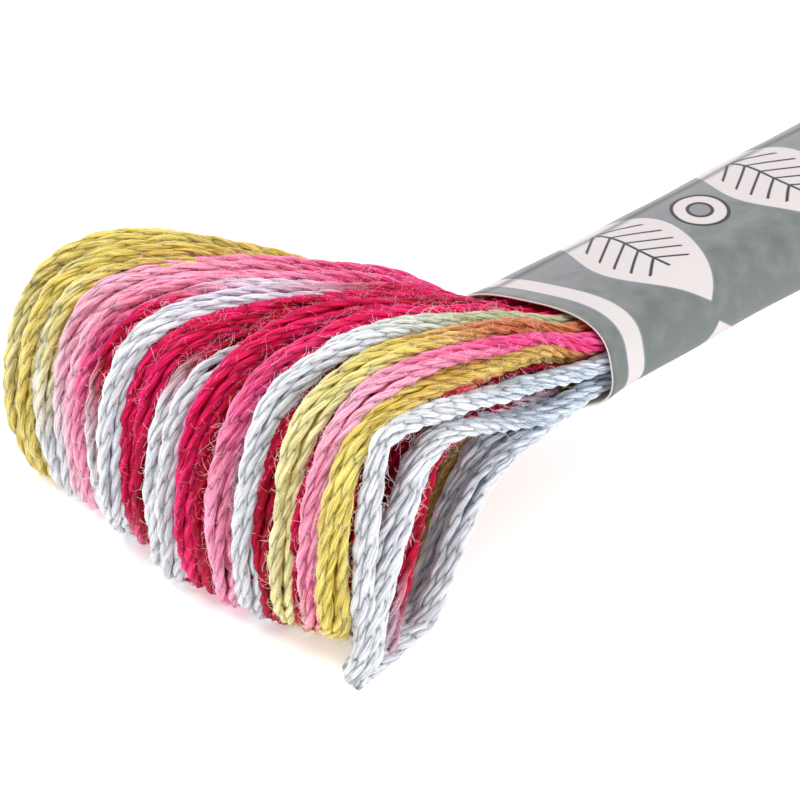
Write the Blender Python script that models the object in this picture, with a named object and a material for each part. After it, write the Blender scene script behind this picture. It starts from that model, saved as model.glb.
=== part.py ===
"""Skein of six-strand embroidery floss in a paper sleeve, lying on a table.

Solids: floss_hank (all the wound turns as one form, with the ridge of each outer
turn) and paper_sleeve (the band round its waist). Units are metres, +Z is up, +X
runs from the fanned loop end to the plain end, and the bottom rests on z = 0.
"""

import bpy
import numpy as np

MM = 0.001

# The paper sleeve: a flattened tube that stands clear of the table.
SLEEVE_LENGTH = 55.0
SLEEVE_HALF_WIDTH = 4.95
SLEEVE_HALF_HEIGHT = 2.38
SLEEVE_WALL = 0.40
SLEEVE_SQUARENESS = 3.0
SLEEVE_ROLL = -11.0
SLEEVE_CENTRE_Z = 6.0
SLEEVE_SIDES = 64

# The floss inside it, and the thread that its turns are wound from.
FLOSS_GAP = 0.32
THREAD_THICKNESS = 1.0
PRESSED_FLAT = 0.6  # what lies lower than this is spread flat on the table
GROOVE_DEPTH = 0.55
GROOVE_IN_SLEEVE = 0.08

# Outer turns of the fanned end, from the far side of the fan to the near side.
# top, low: degrees round the mouth where the turn leaves and comes back.
# nose_y, reach, height: sideways place and distance of its nose, height of its crest.
# crest, foot, heel: where it is highest and touches down, as shares of the reach.
FAN_COLUMNS = ("top", "low", "nose_y", "reach", "height", "crest", "foot", "heel")
FAN_TURNS = (
    (30, 335, 16.3, 17.3, 11.6, 0.60, 0.80, 0.66),
    (41, 328, 14.8, 17.9, 11.5, 0.58, 0.80, 0.66),
    (50, 320, 13.2, 17.6, 11.6, 0.58, 0.80, 0.66),
    (59, 312, 11.4, 17.9, 11.6, 0.56, 0.81, 0.66),
    (68, 304, 9.4, 19.2, 12.0, 0.56, 0.84, 0.66),
    (76, 296, 7.4, 19.7, 11.7, 0.54, 0.86, 0.66),
    (84, 289, 5.2, 20.9, 11.6, 0.56, 0.88, 0.66),
    (92, 281, 2.9, 21.0, 12.2, 0.50, 0.88, 0.66),
    (102, 272, 1.0, 21.2, 12.4, 0.50, 0.88, 0.66),
    (113, 264, -0.8, 21.0, 12.6, 0.50, 0.88, 0.66),
    (128, 255, -2.5, 20.9, 12.3, 0.50, 0.88, 0.66),
    (144, 246, -3.9, 20.6, 11.9, 0.50, 0.88, 0.66),
    (158, 237, -5.1, 20.8, 11.3, 0.52, 0.90, 0.66),
    (177, 228, -6.2, 20.2, 10.9, 0.56, 0.93, 0.68),
    (196, 215, -7.2, 19.5, 10.4, 0.64, 0.97, 0.72),
)

# The plain end beyond the sleeve: one thick oval bundle that settles onto the table.
TAIL_REACH = 88.0
TAIL_ROUNDING = 6.0
TAIL_HALF_WIDTH = 6.6
TAIL_HALF_HEIGHT = 4.5
TAIL_SQUARENESS = 2.3
TAIL_SINK = 0.45  # how much of its roundness the table takes up

# Where rings of points lie along each end, as shares of a turn's run from mouth to nose,
# and how deep the open eyes of the loops are dished.
FAN_STATIONS = (0.0, 0.07, 0.14, 0.21, 0.28, 0.35, 0.42, 0.49, 0.56, 0.62, 0.68, 0.74,
                0.79, 0.84, 0.88, 0.92, 0.955, 0.98, 1.0)
TAIL_STATIONS = (0.0, 0.04, 0.08, 0.13, 0.19, 0.26, 0.34, 0.43, 0.53, 0.63, 0.72,
                 0.80, 0.86, 0.905, 0.94, 0.965, 0.985, 1.0)
NEAR_EYE_DEPTH = 5.5
FAR_EYE_DEPTH = 2.2
TAIL_EYE_DEPTH = 0.9


def oblong(degrees, half_width, half_height, squareness):
    """Point (y, z) of a rounded oblong at an angle: an ellipse where squareness is 2."""
    angle = np.radians(np.asarray(degrees, float))
    cos, sin = np.cos(angle), np.sin(angle)
    y = half_width * np.sign(cos) * np.abs(cos) ** (2.0 / squareness)
    z = half_height * np.sign(sin) * np.abs(sin) ** (2.0 / squareness)
    return y, z


def mouth_point(degrees, half_width, half_height):
    """Point (y, z) of the sleeve's section at an angle, rolled a little to one side."""
    y, z = oblong(degrees, half_width, half_height, SLEEVE_SQUARENESS)
    roll = np.radians(SLEEVE_ROLL)
    return (
        y * np.cos(roll) - z * np.sin(roll),
        SLEEVE_CENTRE_Z + y * np.sin(roll) + z * np.cos(roll),
    )


def smooth_curve(knots, count):
    """Cubic curve through the knots, sampled evenly along its length."""
    knots = np.asarray(knots, float)
    step = np.linalg.norm(np.diff(knots, axis=0), axis=1) ** 0.5
    time = np.concatenate([[0.0], np.cumsum(step)])
    slope = np.empty_like(knots)
    before = (knots[1:-1] - knots[:-2]) / step[:-1, None]
    after = (knots[2:] - knots[1:-1]) / step[1:, None]
    slope[1:-1] = before * step[1:, None] + after * step[:-1, None]
    slope[1:-1] /= (step[:-1] + step[1:])[:, None]
    slope[0] = (knots[1] - knots[0]) / step[0]
    slope[-1] = (knots[-1] - knots[-2]) / step[-1]
    at = np.linspace(0.0, time[-1], 6 * count)
    span = np.clip(np.searchsorted(time, at, side="right") - 1, 0, len(step) - 1)
    u = ((at - time[span]) / step[span])[:, None]
    h = step[span][:, None]
    dense = (2 * u**3 - 3 * u**2 + 1) * knots[span] + (u**3 - 2 * u**2 + u) * h * slope[span]
    dense += (3 * u**2 - 2 * u**3) * knots[span + 1] + (u**3 - u**2) * h * slope[span + 1]
    return resample(dense, np.linspace(0.0, 1.0, count))


def resample(points, shares):
    """Points at the given shares of a polyline's length."""
    along = np.concatenate([[0.0], np.cumsum(np.linalg.norm(np.diff(points, axis=0), axis=1))])
    at = np.asarray(shares) * along[-1]
    return np.stack([np.interp(at, along, points[:, k]) for k in range(3)], axis=1)


def two_runs(curve, stations):
    """The outward and the homeward run of a turn, at the same shares of each."""
    nose = int(np.argmax(curve[:, 0]))
    return resample(curve[: nose + 1], stations), resample(curve[nose:][::-1], stations)


def fan_turn(row):
    """Outward and homeward runs (distance from the mouth, y, z) of one fanned turn."""
    turn = dict(zip(FAN_COLUMNS, row))
    width = SLEEVE_HALF_WIDTH - SLEEVE_WALL - FLOSS_GAP - GROOVE_DEPTH
    depth = SLEEVE_HALF_HEIGHT - SLEEVE_WALL - FLOSS_GAP - GROOVE_DEPTH
    y_top, z_top = mouth_point(turn["top"], width, depth)
    y_low, z_low = mouth_point(turn["low"], width, depth)
    reach, high, nose_y = turn["reach"], turn["height"], turn["nose_y"]
    crest, foot, heel = turn["crest"], turn["foot"], turn["heel"]
    half = THREAD_THICKNESS / 2

    def out_y(share):
        return y_top + (nose_y - y_top) * share

    def home_y(share):
        return y_low + (nose_y - y_low) * share

    knots = [
        (0.0, y_top, z_top),
        (0.24 * reach, out_y(0.20), z_top + 0.50 * (high - z_top)),
        (crest * reach, out_y(0.98 * crest), high),
        (0.86 * reach, out_y(0.87), 0.84 * high),
        (reach, nose_y, 0.50 * high),
        (0.97 * reach, nose_y, 0.20 * high),
        (foot * reach, out_y(0.93), half),
        (heel * reach, home_y(1.1 * heel), half),
        (0.53 * reach, home_y(0.56), half + 0.45 * (z_low - half)),
        (0.40 * reach, home_y(0.38), half + 0.88 * (z_low - half)),
        (0.20 * reach, home_y(0.16), z_low),
        (0.0, y_low, z_low),
    ]
    return two_runs(smooth_curve(knots, 160), FAN_STATIONS)


def tail_turn(index, row):
    """The same for one turn of the plain end; the loops lie close side by side."""
    turn = dict(zip(FAN_COLUMNS, row))
    width = SLEEVE_HALF_WIDTH - SLEEVE_WALL - FLOSS_GAP - GROOVE_DEPTH
    depth = SLEEVE_HALF_HEIGHT - SLEEVE_WALL - FLOSS_GAP - GROOVE_DEPTH
    y_top, z_top = mouth_point(turn["top"], width, depth)
    y_low, z_low = mouth_point(turn["low"], width, depth)
    half = THREAD_THICKNESS / 2
    off_middle = (turn["top"] - 113) / 83
    reach = TAIL_REACH - TAIL_ROUNDING * off_middle**2 + 0.5 * np.sin(2.3 * index)
    wide, high = TAIL_HALF_WIDTH - half, TAIL_HALF_HEIGHT - half
    middle_z = TAIL_HALF_HEIGHT - TAIL_SINK

    def bundle(degrees, swell):
        y, z = oblong(degrees, wide * swell, high * swell, TAIL_SQUARENESS)
        return y, np.maximum(middle_z + z, half)

    y_out, z_out = bundle(turn["top"], 1.0)
    y_home, z_home = bundle(turn["low"], 1.0)
    knots = [
        (0.0, y_top, z_top),
        (9.0, 0.55 * y_top + 0.45 * y_out, 0.5 * z_top + 0.5 * z_out),
        (24.0, y_out, z_out),
        (50.0, *bundle(turn["top"], 1.03)),
        (0.88 * reach, *bundle(turn["top"], 0.98)),
        (0.975 * reach, *bundle(turn["top"], 0.86)),
        (reach, 0.44 * (y_out + y_home), middle_z),
        (0.98 * reach, *bundle(turn["low"], 0.86)),
        (0.90 * reach, *bundle(turn["low"], 0.98)),
        (50.0, *bundle(turn["low"], 1.03)),
        (22.0, y_home, z_home),
        (10.0, 0.5 * (y_low + y_home), 0.5 * (z_low + z_home)),
        (0.0, y_low, z_low),
    ]
    return two_runs(smooth_curve(knots, 200), TAIL_STATIONS)


def unit(vectors):
    return vectors / np.maximum(np.linalg.norm(vectors, axis=-1, keepdims=True), 1e-9)


def ridged(runs, upward, groove):
    """Skin over parallel runs, shape (station, point, 3).

    Each run gives two crest points half a thread above its centre line, and each
    pair of neighbours a groove point between them, GROOVE deep below the crests.
    """
    across = np.gradient(runs, axis=0)
    along = np.gradient(runs, axis=1)
    normal = unit(np.cross(across, along)) * upward
    lift = normal * THREAD_THICKNESS / 2
    left = runs - 0.24 * across + lift
    right = runs + 0.24 * across + lift
    between = (runs[1:] + runs[:-1]) / 2 + unit(normal[1:] + normal[:-1]) * (
        THREAD_THICKNESS / 2 - groove[None, :, None]
    )
    rows = []
    for k in range(len(runs)):
        rows += [left[k], right[k]]
        if k < len(runs) - 1:
            rows.append(between[k])
    return np.stack(rows, axis=1)


def eye_wall(top, low, inward, depth, shares):
    """Points that close one side between two edge runs, dished in the middle."""
    gap = np.linalg.norm(top - low, axis=1)
    rim = np.minimum(0.30, 1.3 / np.maximum(gap, 1e-6))
    dish = depth * np.interp(shares, (0.20, 0.42, 0.80, 0.97), (0.0, 1.0, 1.0, 0.0))
    dish = np.minimum(dish, 0.8 * gap)
    wall = []
    for share, sunk in ((0.0, 0.0), (0.22, 1.0), (0.5, 1.0), (0.78, 1.0), (1.0, 0.0)):
        s = rim + (1.0 - 2.0 * rim) * share
        wall.append(top + (low - top) * s[:, None] + inward * (sunk * dish)[:, None])
    return np.stack(wall, axis=1)


def rings_of(turns, stations, far_depth, near_depth):
    """Closed rings of one end, in order along it, from the mouth to the noses."""
    out = np.array([turn[0] for turn in turns])
    home = np.array([turn[1] for turn in turns])
    shares = np.asarray(stations)
    groove = GROOVE_IN_SLEEVE + (GROOVE_DEPTH - GROOVE_IN_SLEEVE) * np.clip(shares / 0.2, 0, 1)
    top = ridged(out, 1.0, groove)
    low = ridged(home, -1.0, groove)
    nose = (top[-1] + low[-1]) / 2
    top[-1], low[-1] = nose, nose
    near_in = unit(out[-3] + home[-3] - out[-1] - home[-1])
    far_in = unit(out[2] + home[2] - out[0] - home[0])
    near = eye_wall(top[:, -1], low[:, -1], near_in, near_depth, shares)
    far = eye_wall(low[:, 0], top[:, 0], far_in, far_depth, shares)
    rings = np.concatenate([top, near, low[:, ::-1], far], axis=1)
    rings[..., 2] = np.where(rings[..., 2] < PRESSED_FLAT, 0.0, rings[..., 2])
    return rings


def solid(name, points, faces, colour, roughness):
    mesh = bpy.data.meshes.new(name)
    mesh.from_pydata((points * MM).tolist(), [], faces)
    mesh.update()
    material = bpy.data.materials.new(name)
    material.use_nodes = True
    shader = material.node_tree.nodes["Principled BSDF"]
    shader.inputs["Base Color"].default_value = (*colour, 1.0)
    shader.inputs["Roughness"].default_value = roughness
    mesh.materials.append(material)
    part = bpy.data.objects.new(name, mesh)
    bpy.context.scene.collection.objects.link(part)
    return part


def hank():
    """Rings from the noses of the fan, through the sleeve, to the end of the tail."""
    fan = rings_of([fan_turn(row) for row in FAN_TURNS], FAN_STATIONS,
                   FAR_EYE_DEPTH, NEAR_EYE_DEPTH)
    tail = rings_of([tail_turn(k, row) for k, row in enumerate(FAN_TURNS)],
                    TAIL_STATIONS, TAIL_EYE_DEPTH, TAIL_EYE_DEPTH)
    fan[..., 0] *= -1.0
    tail[..., 0] += SLEEVE_LENGTH
    sleeve = [fan[0] * (1 - t) + tail[0] * t for t in (0.33, 0.67)]
    rings = np.concatenate([fan[::-1], np.array(sleeve), tail])
    count = rings.shape[1]
    index = np.arange(rings.shape[0] * count).reshape(rings.shape[:2])
    across = (count - 10) // 2
    for ring in (0, -1):  # the noses: the low points are the top ones
        index[ring, across : across + 5] = index[ring, across - 1]
        index[ring, across + 5 : 2 * across + 5] = index[ring, :across][::-1]
        index[ring, 2 * across + 5 :] = index[ring, 0]
    faces = []
    for a, b in zip(index[:-1], index[1:]):
        for k in range(count):
            m = (k + 1) % count
            corners = [a[k], a[m], b[m], b[k]]
            kept = [int(c) for n, c in enumerate(corners) if c != corners[n - 1]]
            if len(set(kept)) > 2:
                faces += triangles(kept)
    used = np.unique(np.array(faces))
    renumber = np.full(index.size, -1)
    renumber[used] = np.arange(len(used))
    return rings.reshape(-1, 3)[used], [[int(renumber[c]) for c in f] for f in faces]


def triangles(corners):
    return [[corners[0], corners[n], corners[n + 1]] for n in range(1, len(corners) - 1)]


def sleeve():
    """Flattened tube: outer and inner walls, closed by a rim at each end."""
    angles = 360.0 * np.arange(SLEEVE_SIDES) / SLEEVE_SIDES
    loops = []
    for x, wall in ((0.0, 0.0), (SLEEVE_LENGTH, 0.0), (SLEEVE_LENGTH, SLEEVE_WALL),
                    (0.0, SLEEVE_WALL)):
        y, z = mouth_point(angles, SLEEVE_HALF_WIDTH - wall, SLEEVE_HALF_HEIGHT - wall)
        loops.append(np.stack([np.full(SLEEVE_SIDES, x), y, z], axis=1))
    faces = []
    for k in range(4):
        for n in range(SLEEVE_SIDES):
            m = (n + 1) % SLEEVE_SIDES
            a, b = k * SLEEVE_SIDES, (k + 1) % 4 * SLEEVE_SIDES
            faces.append([a + n, a + m, b + m, b + n])
    return np.concatenate(loops), faces


for item in list(bpy.data.objects):
    bpy.data.objects.remove(item)

hank_points, hank_faces = hank()
sleeve_points, sleeve_faces = sleeve()

# The middle of the whole skein goes over the origin.
both = np.concatenate([hank_points, sleeve_points])
middle = (both.min(axis=0) + both.max(axis=0)) / 2
middle[2] = 0.0
solid("floss_hank", hank_points - middle, hank_faces, (0.75, 0.25, 0.38), 0.65)
solid("paper_sleeve", sleeve_points - middle, sleeve_faces, (0.45, 0.47, 0.47), 0.45)
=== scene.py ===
"""Skein of variegated six-strand embroidery floss, fanned out of its paper sleeve.

Lengths are millimetres from the near mouth of the sleeve: x runs through the sleeve
towards the plain end, y across it, and z up from the table. place() turns them into
the frame's metres.
"""

import bpy
import numpy as np
from mathutils import Matrix, Vector


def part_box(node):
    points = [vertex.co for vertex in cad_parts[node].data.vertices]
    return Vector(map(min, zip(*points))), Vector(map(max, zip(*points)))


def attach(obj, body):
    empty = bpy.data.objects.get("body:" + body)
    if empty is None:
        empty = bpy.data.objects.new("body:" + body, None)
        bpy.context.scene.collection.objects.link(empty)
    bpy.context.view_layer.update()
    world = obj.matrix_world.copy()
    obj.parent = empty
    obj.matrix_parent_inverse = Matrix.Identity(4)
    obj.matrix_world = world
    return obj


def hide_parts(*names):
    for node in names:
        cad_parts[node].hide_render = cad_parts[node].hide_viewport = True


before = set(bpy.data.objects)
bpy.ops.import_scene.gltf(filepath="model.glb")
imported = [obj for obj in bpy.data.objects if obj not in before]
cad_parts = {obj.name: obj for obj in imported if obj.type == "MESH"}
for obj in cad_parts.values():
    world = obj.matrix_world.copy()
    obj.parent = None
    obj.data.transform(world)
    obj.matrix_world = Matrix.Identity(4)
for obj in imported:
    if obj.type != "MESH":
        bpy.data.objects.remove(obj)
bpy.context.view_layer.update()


# ---------------------------------------------------------------------------
# The way through the sleeve. The paper sleeve squeezes the wound floss into a
# rounded oblong, rolled a little to one side, and all the turns pass through it
# in a few close layers, outward runs above and homeward runs below.
# ---------------------------------------------------------------------------
MM = 0.001
sleeve_low, sleeve_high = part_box("paper_sleeve")
MOUTH = np.array([sleeve_low.x, (sleeve_low.y + sleeve_high.y) / 2, 0.0])
SLEEVE_LENGTH = (sleeve_high.x - sleeve_low.x) / MM
SLEEVE_CENTRE_Z = (sleeve_low.z + sleeve_high.z) / 2 / MM
SLEEVE_HALF_WIDTH = 4.95
SLEEVE_HALF_HEIGHT = 2.38
SLEEVE_SQUARENESS = 3.0
SLEEVE_ROLL = np.radians(-11.0)


def place(points):
    """The frame's metres: the points in millimetres, moved to the sleeve's near mouth."""
    return np.asarray(points) * MM + MOUTH


def oblong(degrees, half_width, half_height, squareness):
    """(y, z) at an angle round a superellipse: |cos| and |sin| to the power 2/squareness."""
    angle = np.radians(degrees)
    cos, sin = np.cos(angle), np.sin(angle)
    y = half_width * np.sign(cos) * np.abs(cos) ** (2 / squareness)
    z = half_height * np.sign(sin) * np.abs(sin) ** (2 / squareness)
    return y, z


def sleeve_section(degrees, half_width, half_height):
    """The oblong turned by the sleeve's roll and lifted to its centre."""
    y, z = oblong(degrees, half_width, half_height, SLEEVE_SQUARENESS)
    cos, sin = np.cos(SLEEVE_ROLL), np.sin(SLEEVE_ROLL)
    return y * cos - z * sin, SLEEVE_CENTRE_Z + y * sin + z * cos


# ---------------------------------------------------------------------------
# The wound turns. One long cotton thread is wound round and round into a ring,
# pulled through the sleeve and fanned out at the near end. The thread is six
# loosely twisted strands, each of two plies, dyed in stretches of colour.
# ---------------------------------------------------------------------------
STRANDS = 6
PLY_RADIUS = 0.157
PLY_OFFSET = 0.067  # from a strand's middle to the middle of each of its two plies
STRAND_RADIUS = 0.240
STRAND_FLATNESS = 1.28  # strands pressed side by side are this much wider than deep
PLY_PITCH = -2.6  # negative: both twists lean to the right, seen with the thread upright
THREAD_PITCH = -30.0
LOOSE_WIDTH, LOOSE_DEPTH = 0.41, 0.18  # the oval that the strands go round
TIGHT_WIDTH, TIGHT_DEPTH = 0.26, 0.28  # the same where the sleeve squeezes them
BUNDLE_HALF_WIDTH, BUNDLE_HALF_HEIGHT = 4.25, 1.72  # of the outermost turns in the sleeve
STRAIGHT = 3.0  # how far inside a mouth a turn starts to bend
SEEN_INSIDE = 1.0  # how far inside a mouth the threads can be seen
ON_TABLE, LOWEST_SKIN = 0.42, 0.02  # lowest that a thread's middle and a ply's skin come
LOOSE_AT_MOUTH, LOOSENING = 0.1, 9.0  # looseness at a mouth; millimetres from none to all
LEANING = 10.0  # how far past a mouth a thread leans in full
FLAT_SIDE_TURNED = np.radians(38.0)  # how far the threads' flat sides face the near corner

TAIL_REACH, TAIL_ROUNDING = 88.0, 6.0  # of the middle turns; how much less the outer ones
TAIL_UNEVEN, TAIL_UNEVEN_STEP = 0.5, 2.3  # a sine by which the turns' ends stagger
TAIL_INNER_SHORTER, TAIL_INNERMOST = 3.0, 0.45  # of layer 0: how much shorter, how far out
TAIL_HALF_WIDTH, TAIL_HALF_HEIGHT, TAIL_SQUARENESS = 6.1, 4.0, 2.3
TAIL_MIDDLE_Z = 4.05
TOP_MIDDLE, TOP_SPREAD = 113, 83  # degrees round the mouth where the turns leave it

# How the strands wander along the thread, as (size, longest wave).
WIDTH_WAVE, DEPTH_WAVE, RADIUS_WAVE = (0.12, 17.0), (0.15, 11.0), (0.06, 4.0)  # shares
THREAD_WAVE, PLY_WAVE = (0.12, 22.0), (0.35, 18.0)  # radians of twist
SIDE_WAVE, OUT_WAVE = (0.06, 13.0), (0.05, 13.0)  # millimetres

# Painted shade in the creases: how much a crease darkens and deepens the dye, from which share of
# the radius inwards, over which.
THREAD_CREASE_SHADE, THREAD_CREASE_FROM, THREAD_CREASE_OVER = 0.40, 0.88, 0.45
PLY_CREASE_SHADE, PLY_CREASE_FROM, PLY_CREASE_OVER = 0.22, 0.95, 0.5
# Painted crease shade: how much it saturates the dye, and how much it darkens it.
CREASE_SHADE_SATURATES, CREASE_SHADE_DARKENS = 0.95, 0.10
STRAND_DYE_SHIFT, STRAND_DYE_SHADE = 0.012, 0.08

# Rings of a tube stand this far apart on the way out, and this far on the way home, which
# starts at HOMEWARD_FROM of its length. Turns up to INNER_LAYER have the inner steps.
OUTER_STEPS, INNER_STEPS, TAIL_STEPS = (0.37, 0.60), (0.46, 0.70), (2.2, 2.2)
INNER_LAYER, HOMEWARD_FROM = 0.7, 0.62
ROUTE_POINTS, HIDDEN_RINGS, TUBE_SIDES = 1600, 7, 5
SEAM_PITCH = 9.0  # of the one slow seam of painted shade that a modelled ply shows
PLY_SEAM_SHADE, PLAIN_SEAM_SHADE = 0.5, 1.0  # how much of the painted seam shade a ply and a plain tube show
STRAND_SHIFT = 40.0  # sets each tube's fibres apart from its neighbours'
TURN_SEED = 100  # of the first turn; each next turn has the next number
TUBE_MARGIN = 0.04  # of a tube's strip in the bake's map

# Colours as they look on a screen, at the threads' crowns; painted shade deepens them in the
# creases.
DYES = {
    "c": (0.67, 0.02, 0.20),  # deep crimson
    "C": (0.86, 0.13, 0.38),  # crimson
    "m": (0.92, 0.32, 0.54),  # rose
    "p": (0.96, 0.59, 0.70),  # pink
    "P": (0.97, 0.69, 0.77),  # pale pink
    "w": (0.86, 0.87, 0.895),  # cool white
    "b": (0.77, 0.81, 0.865),  # blue white
    "l": (0.85, 0.79, 0.86),  # lilac grey
    "s": (0.895, 0.855, 0.63),  # straw
    "o": (0.855, 0.775, 0.45),  # olive yellow
    "g": (0.80, 0.67, 0.37),  # old gold
    "r": (0.75, 0.46, 0.32),  # rust
    "e": (0.71, 0.72, 0.57),  # sage
}
# Where those colours fall along a loop: mouth, rise, crest, shoulder, nose, foot,
# heel and mouth again, as shares of its length.
DYE_AT = (0.0, 0.13, 0.27, 0.37, 0.44, 0.53, 0.72, 1.0)
TAIL_DYES = "CCmpPwwssoogrCcCmpPwwbbl"
TAIL_DYE_KEYS, TAIL_DYE_STEP = 9, 5  # colours on a turn's loop, and places on to the next turn

# How a loop comes down from its crest round its nose: how far on from the crest
# towards its nose, and how high, as shares.
ROUND = ((0.67, 0.92), (0.90, 0.745), (1.0, 0.45), (0.95, 0.22))
BENT = ((0.45, 0.975), (0.66, 0.86), (0.80, 0.70), (0.96, 0.47), (0.97, 0.23))
DROPPED = ((0.25, 0.955), (0.41, 0.79), (0.62, 0.555), (0.785, 0.30), (0.87, 0.12))

# One row for each turn, from the far side of the fan to the near side.
# top, low: degrees round the mouth where it leaves and comes back; layer: how far out
# in the bundle it lies; nose_y, reach, height: place of its nose and height of its
# crest; climb: how much of that height it has gained a quarter of the way out, as a
# share; crest: where it is highest, as a share of the reach; foot_x, foot_y: where it
# comes down on the table; spread: its width beside the others'; lean: how far its
# flat side tips over, in degrees; dyes: colours from the mouth round to the mouth.
TURN_COLUMNS = (
    "name", "top", "low", "layer", "nose_y", "reach", "height", "climb", "crest", "foot_x",
    "foot_y", "spread", "lean", "shape", "dyes",
)
TURNS = (
    ("01", 30, 335, 1.0, 16.3, 17.5, 12.15, 0.38, 0.70, 16.3, 15.4, 1.0, -6, ROUND, "ggoosoow"),
    ("02", 41, 328, 1.0, 15.0, 17.7, 11.9, 0.42, 0.72, 16.4, 14.5, 1.1, -6, ROUND, "gggooooC"),
    ("03", 36, 331, 0.9, 14.1, 17.6, 11.5, 0.40, 0.73, 16.6, 13.6, 1.1, -6, ROUND, "gggoswww"),
    ("04", 34, 333, 0.7, 15.4, 16.5, 11.3, 0.38, 0.71, 15.8, 14.9, 1.6, -6, ROUND, "gggooooo"),
    ("05", 43, 326, 0.7, 13.3, 16.5, 10.6, 0.45, 0.71, 16.0, 13.1, 1.6, -6, ROUND, "gmppPwww"),
    ("06", 50, 320, 1.0, 13.0, 17.5, 11.4, 0.60, 0.70, 16.8, 12.7, 1.1, -8, ROUND, "CmpPPwww"),
    ("07", 46, 324, 0.8, 12.2, 17.5, 11.1, 0.55, 0.71, 16.8, 11.9, 1.1, -8, ROUND, "CmpPPPww"),
    ("08", 52, 318, 0.7, 11.9, 16.7, 10.4, 0.50, 0.71, 16.2, 11.5, 1.6, -8, ROUND, "CmpPPpww"),
    ("09", 59, 312, 1.0, 11.3, 17.8, 11.2, 0.56, 0.72, 16.9, 11.1, 1.1, -8, ROUND, "CmppmpPw"),
    ("10", 63, 306, 0.9, 9.7, 18.5, 11.4, 0.50, 0.73, 17.2, 9.8, 1.1, -8, ROUND, "CmlCcwww"),
    ("11", 68, 304, 1.0, 8.05, 19.4, 11.75, 0.50, 0.76, 17.5, 8.7, 1.15, -8, ROUND, "Cclwwwwb"),
    ("12", 72, 300, 0.8, 7.4, 18.5, 11.2, 0.50, 0.75, 17.0, 8.1, 1.0, -8, ROUND, "ccccccww"),
    ("13", 76, 296, 1.0, 7.1, 18.9, 11.4, 0.50, 0.77, 17.5, 7.4, 1.0, -8, ROUND, "CCCCCCwC"),
    ("14", 81, 292, 0.9, 6.3, 18.8, 11.3, 0.50, 0.76, 17.4, 6.8, 1.1, -8, ROUND, "cccCCccc"),
    ("15", 84, 290, 0.7, 4.9, 19.5, 10.8, 0.50, 0.76, 18.6, 5.1, 1.3, -8, ROUND, "ccccwwww"),
    ("16", 88, 287, 0.9, 3.85, 19.8, 11.1, 0.50, 0.76, 18.9, 4.3, 1.25, -8, ROUND, "CclwwwwC"),
    ("17", 80, 284, 0.8, 4.2, 19.3, 11.5, 0.50, 0.66, 18.6, 3.8, 1.1, -8, ROUND, "ccccccCw"),
    ("18", 92, 281, 1.0, 2.4, 20.1, 12.35, 0.50, 0.63, 18.5, 2.6, 1.15, -8, ROUND, "ccCCCCmw"),
    ("19", 97, 276, 0.8, 1.5, 19.9, 11.8, 0.50, 0.63, 18.5, 1.8, 1.1, -8, ROUND, "ccccccCw"),
    ("20", 102, 272, 1.0, 0.45, 20.2, 12.35, 0.50, 0.62, 18.6, 1.0, 1.0, -8, ROUND, "CCCmppPC"),
    ("21", 112, 264, 1.0, -1.2, 20.2, 12.45, 0.50, 0.66, 18.5, -0.6, 1.05, -8, ROUND, "eewwwwwo"),
    ("22", 118, 258, 0.7, -2.2, 19.8, 11.8, 0.50, 0.66, 18.3, -1.6, 1.1, -8, ROUND, "cCccccCw"),
    ("23", 128, 255, 1.0, -3.3, 19.9, 12.4, 0.50, 0.70, 17.9, -2.6, 1.2, -10, ROUND, "rrossssc"),
    ("24", 138, 250, 0.7, -4.0, 19.5, 11.6, 0.50, 0.70, 17.6, -3.1, 1.1, -10, ROUND, "cCccCccb"),
    ("25", 152, 246, 1.0, -4.9, 19.9, 12.1, 0.50, 0.69, 17.6, -3.3, 1.0, -12, ROUND, "mmpPppoo"),
    ("26", 160, 240, 0.9, -6.0, 19.7, 11.5, 0.50, 0.77, 16.9, -3.8, 1.15, -16, ROUND, "rggoooog"),
    ("27", 168, 236, 0.7, -6.2, 18.9, 10.8, 0.50, 0.78, 16.5, -4.4, 1.1, -14, ROUND, "ggCcccoo"),
    ("28", 180, 228, 1.0, -7.1, 18.9, 11.35, 0.3, 0.86, 17.2, -5.9, 0.72, -24, BENT, "bbwwwwww"),
    ("29", 178, 222, 0.6, -5.6, 15.6, 9.8, 0.50, 0.80, 14.6, -4.2, 0.9, -24, ROUND, "cccccclw"),
    ("30", 200, 228, 0.5, -7.05, 17.9, 8.6, 0.25, 0.64, 17.6, -6.8, 0.9, -30, DROPPED, "cccccllw"),
    ("31", 212, 215, 1.0, -7.6, 20.2, 9.5, 0.22, 0.66, 20.1, -7.5, 0.9, -30, DROPPED, "bbwwwwwb"),
    ("32", 205, 219, 0.6, -7.5, 19.6, 9.0, 0.22, 0.65, 19.5, -6.9, 0.9, -30, DROPPED, "cbbwwwww"),
)


def smooth_curve(knots, count):
    """Cubic curve through the knots; each slope is the mean of the spans beside it."""
    knots = np.asarray(knots, float)
    step = np.linalg.norm(np.diff(knots, axis=0), axis=1) ** 0.5
    time = np.concatenate([[0.0], np.cumsum(step)])
    slope = np.empty_like(knots)
    before = (knots[1:-1] - knots[:-2]) / step[:-1, None]
    after = (knots[2:] - knots[1:-1]) / step[1:, None]
    slope[1:-1] = before * step[1:, None] + after * step[:-1, None]
    slope[1:-1] /= (step[:-1] + step[1:])[:, None]
    slope[0] = (knots[1] - knots[0]) / step[0]
    slope[-1] = (knots[-1] - knots[-2]) / step[-1]
    at = np.linspace(0.0, time[-1], count)
    span = np.clip(np.searchsorted(time, at, side="right") - 1, 0, len(step) - 1)
    u = ((at - time[span]) / step[span])[:, None]
    h = step[span][:, None]
    curve = (2 * u**3 - 3 * u**2 + 1) * knots[span] + (u**3 - 2 * u**2 + u) * h * slope[span]
    return curve + (3 * u**2 - 2 * u**3) * knots[span + 1] + (u**3 - u**2) * h * slope[span + 1]


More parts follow.
